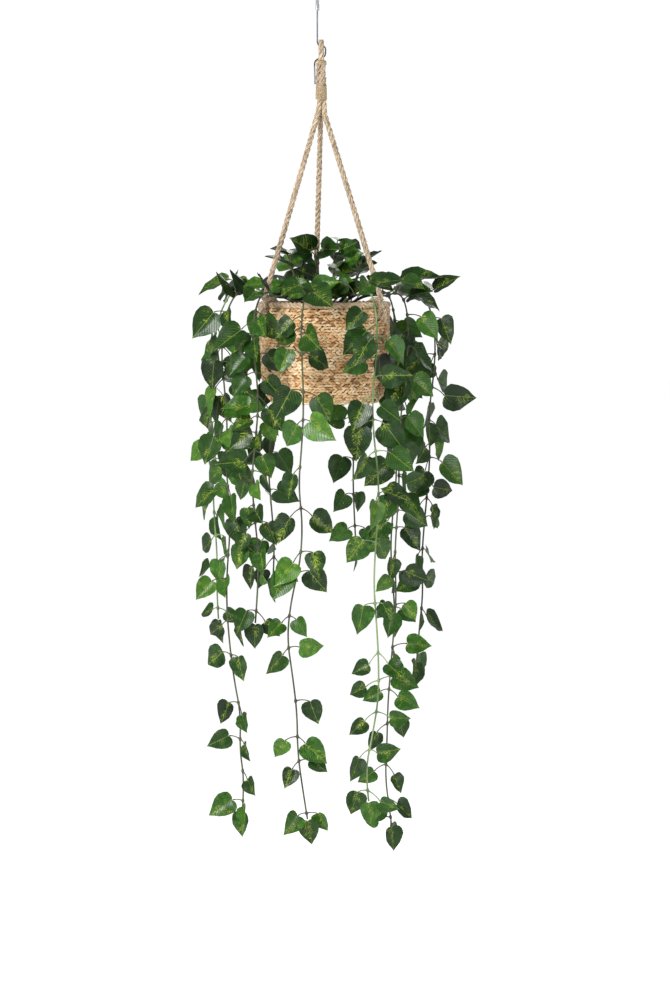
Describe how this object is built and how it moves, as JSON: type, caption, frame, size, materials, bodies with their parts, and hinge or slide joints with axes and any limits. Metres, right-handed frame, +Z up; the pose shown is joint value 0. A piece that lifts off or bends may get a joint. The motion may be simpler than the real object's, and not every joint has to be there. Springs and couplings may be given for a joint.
{
  "type": "hanging planter",
  "caption": "Woven seagrass basket hung by three jute ropes from a ceiling hook, holding trailing artificial vines.",
  "frame": {"origin": "on the ceiling plane, at the root of the ceiling hook's screw", "axes": "+Z up along the screw, -Y the front, +X to the right seen from the front"},
  "size_m": [0.4079, 0.3602, 1.2853],
  "materials": {
    "hook_steel": "zinc plated",
    "hanging_wire": "drawn steel wire",
    "ferrule": "crimped sleeve",
    "jute": "three-strand jute rope",
    "seagrass": "woven twisted seagrass",
    "liner_film": "thin moulded liner",
    "foam": "dry floral foam",
    "stem": "moulded plastic on wire",
    "leaf": "printed coated fabric leaf"
  },
  "bodies": {
    "ceiling": {"ceiling_hook": "hook_steel"},
    "eye": {"wire_eye": "hanging_wire", "wire_ferrule": "ferrule"},
    "hanger": {"hanging_wire": "hanging_wire", "rope_loop": "jute", "neck_whipping": "jute", "rope_left": "jute", "rope_right": "jute", "rope_back": "jute", "rope_knot_left": "jute", "rope_knot_right": "jute", "rope_knot_back": "jute", "rim_loop_left": "jute", "rim_loop_right": "jute", "rim_loop_back": "jute", "basket_wall": "seagrass", "basket_rim": "seagrass", "basket_base": "seagrass", "basket_liner": "liner_film"},
    "plant": {"foam_block": "foam", "stalk": "stem", "runner_stems": "stem", "sprig_stems": "stem", "crown_forks": "stem", "crown_leaves": "leaf"},
    "vine_front_long": {"vine_front_long_stem": "stem", "vine_front_long_forks": "stem", "vine_front_long_leaves": "leaf"},
    "vine_left_front": {"vine_left_front_stem": "stem", "vine_left_front_forks": "stem", "vine_left_front_leaves": "leaf"},
    "vine_left_long": {"vine_left_long_stem": "stem", "vine_left_long_forks": "stem", "vine_left_long_leaves": "leaf"},
    "vine_left_outer": {"vine_left_outer_stem": "stem", "vine_left_outer_forks": "stem", "vine_left_outer_leaves": "leaf"},
    "vine_back_left": {"vine_back_left_stem": "stem", "vine_back_left_forks": "stem", "vine_back_left_leaves": "leaf"},
    "vine_back": {"vine_back_stem": "stem", "vine_back_forks": "stem", "vine_back_leaves": "leaf"},
    "vine_back_right": {"vine_back_right_stem": "stem", "vine_back_right_forks": "stem", "vine_back_right_leaves": "leaf"},
    "vine_right_outer": {"vine_right_outer_stem": "stem", "vine_right_outer_forks": "stem", "vine_right_outer_leaves": "leaf"},
    "vine_right_long": {"vine_right_long_stem": "stem", "vine_right_long_forks": "stem", "vine_right_long_leaves": "leaf"},
    "vine_right_front": {"vine_right_front_stem": "stem", "vine_right_front_forks": "stem", "vine_right_front_leaves": "leaf"}
  },
  "joints": [
    {"name": "side_swing", "type": "hinge", "parent": "ceiling", "child": "eye", "pos_m": [0, 0, -0.037], "axis": [0, 1, 0], "range_deg": [-20, 20]},
    {"name": "turn", "type": "hinge", "parent": "eye", "child": "hanger", "pos_m": [0, 0, -0.083], "axis": [0, 0, 1], "continuous": true},
    {"name": "plant_lift", "type": "slide", "parent": "hanger", "child": "plant", "axis": [0, 0, 1], "range_m": [0, 0.06]},
    {"name": "sway_front_long", "type": "hinge", "parent": "plant", "child": "vine_front_long", "pos_m": [-0.0109, -0.08964, -0.476], "axis": [-0.9744, 0.225, 0], "range_deg": [0, 20]},
    {"name": "sway_left_front", "type": "hinge", "parent": "plant", "child": "vine_left_front", "pos_m": [-0.05638, -0.06391, -0.478], "axis": [-0.6947, 0.7193, 0], "range_deg": [0, 20]},
    {"name": "sway_left_long", "type": "hinge", "parent": "plant", "child": "vine_left_long", "pos_m": [-0.08019, -0.01913, -0.478], "axis": [-0.2079, 0.9781, 0], "range_deg": [0, 20]},
    {"name": "sway_left_outer", "type": "hinge", "parent": "plant", "child": "vine_left_outer", "pos_m": [-0.0755, 0.03446, -0.474], "axis": [0.3746, 0.9272, 0], "range_deg": [0, 20]},
    {"name": "sway_back_left", "type": "hinge", "parent": "plant", "child": "vine_back_left", "pos_m": [-0.04297, 0.07536, -0.476], "axis": [0.8192, 0.5736, 0], "range_deg": [0, 20]},
    {"name": "sway_back", "type": "hinge", "parent": "plant", "child": "vine_back", "pos_m": [0.03975, 0.08699, -0.477], "axis": [0.9455, -0.3256, 0], "range_deg": [0, 20]},
    {"name": "sway_back_right", "type": "hinge", "parent": "plant", "child": "vine_back_right", "pos_m": [0.07709, 0.06274, -0.476], "axis": [0.682, -0.7314, 0], "range_deg": [0, 20]},
    {"name": "sway_right_outer", "type": "hinge", "parent": "plant", "child": "vine_right_outer", "pos_m": [0.09979, 0.01913, -0.474], "axis": [0.2079, -0.9781, 0], "range_deg": [0, 20]},
    {"name": "sway_right_long", "type": "hinge", "parent": "plant", "child": "vine_right_long", "pos_m": [0.09625, -0.03147, -0.477], "axis": [-0.342, -0.9397, 0], "range_deg": [0, 20]},
    {"name": "sway_right_front", "type": "hinge", "parent": "plant", "child": "vine_right_front", "pos_m": [0.05718, -0.07886, -0.475], "axis": [-0.8572, -0.515, 0], "range_deg": [0, 20]}
  ]
}
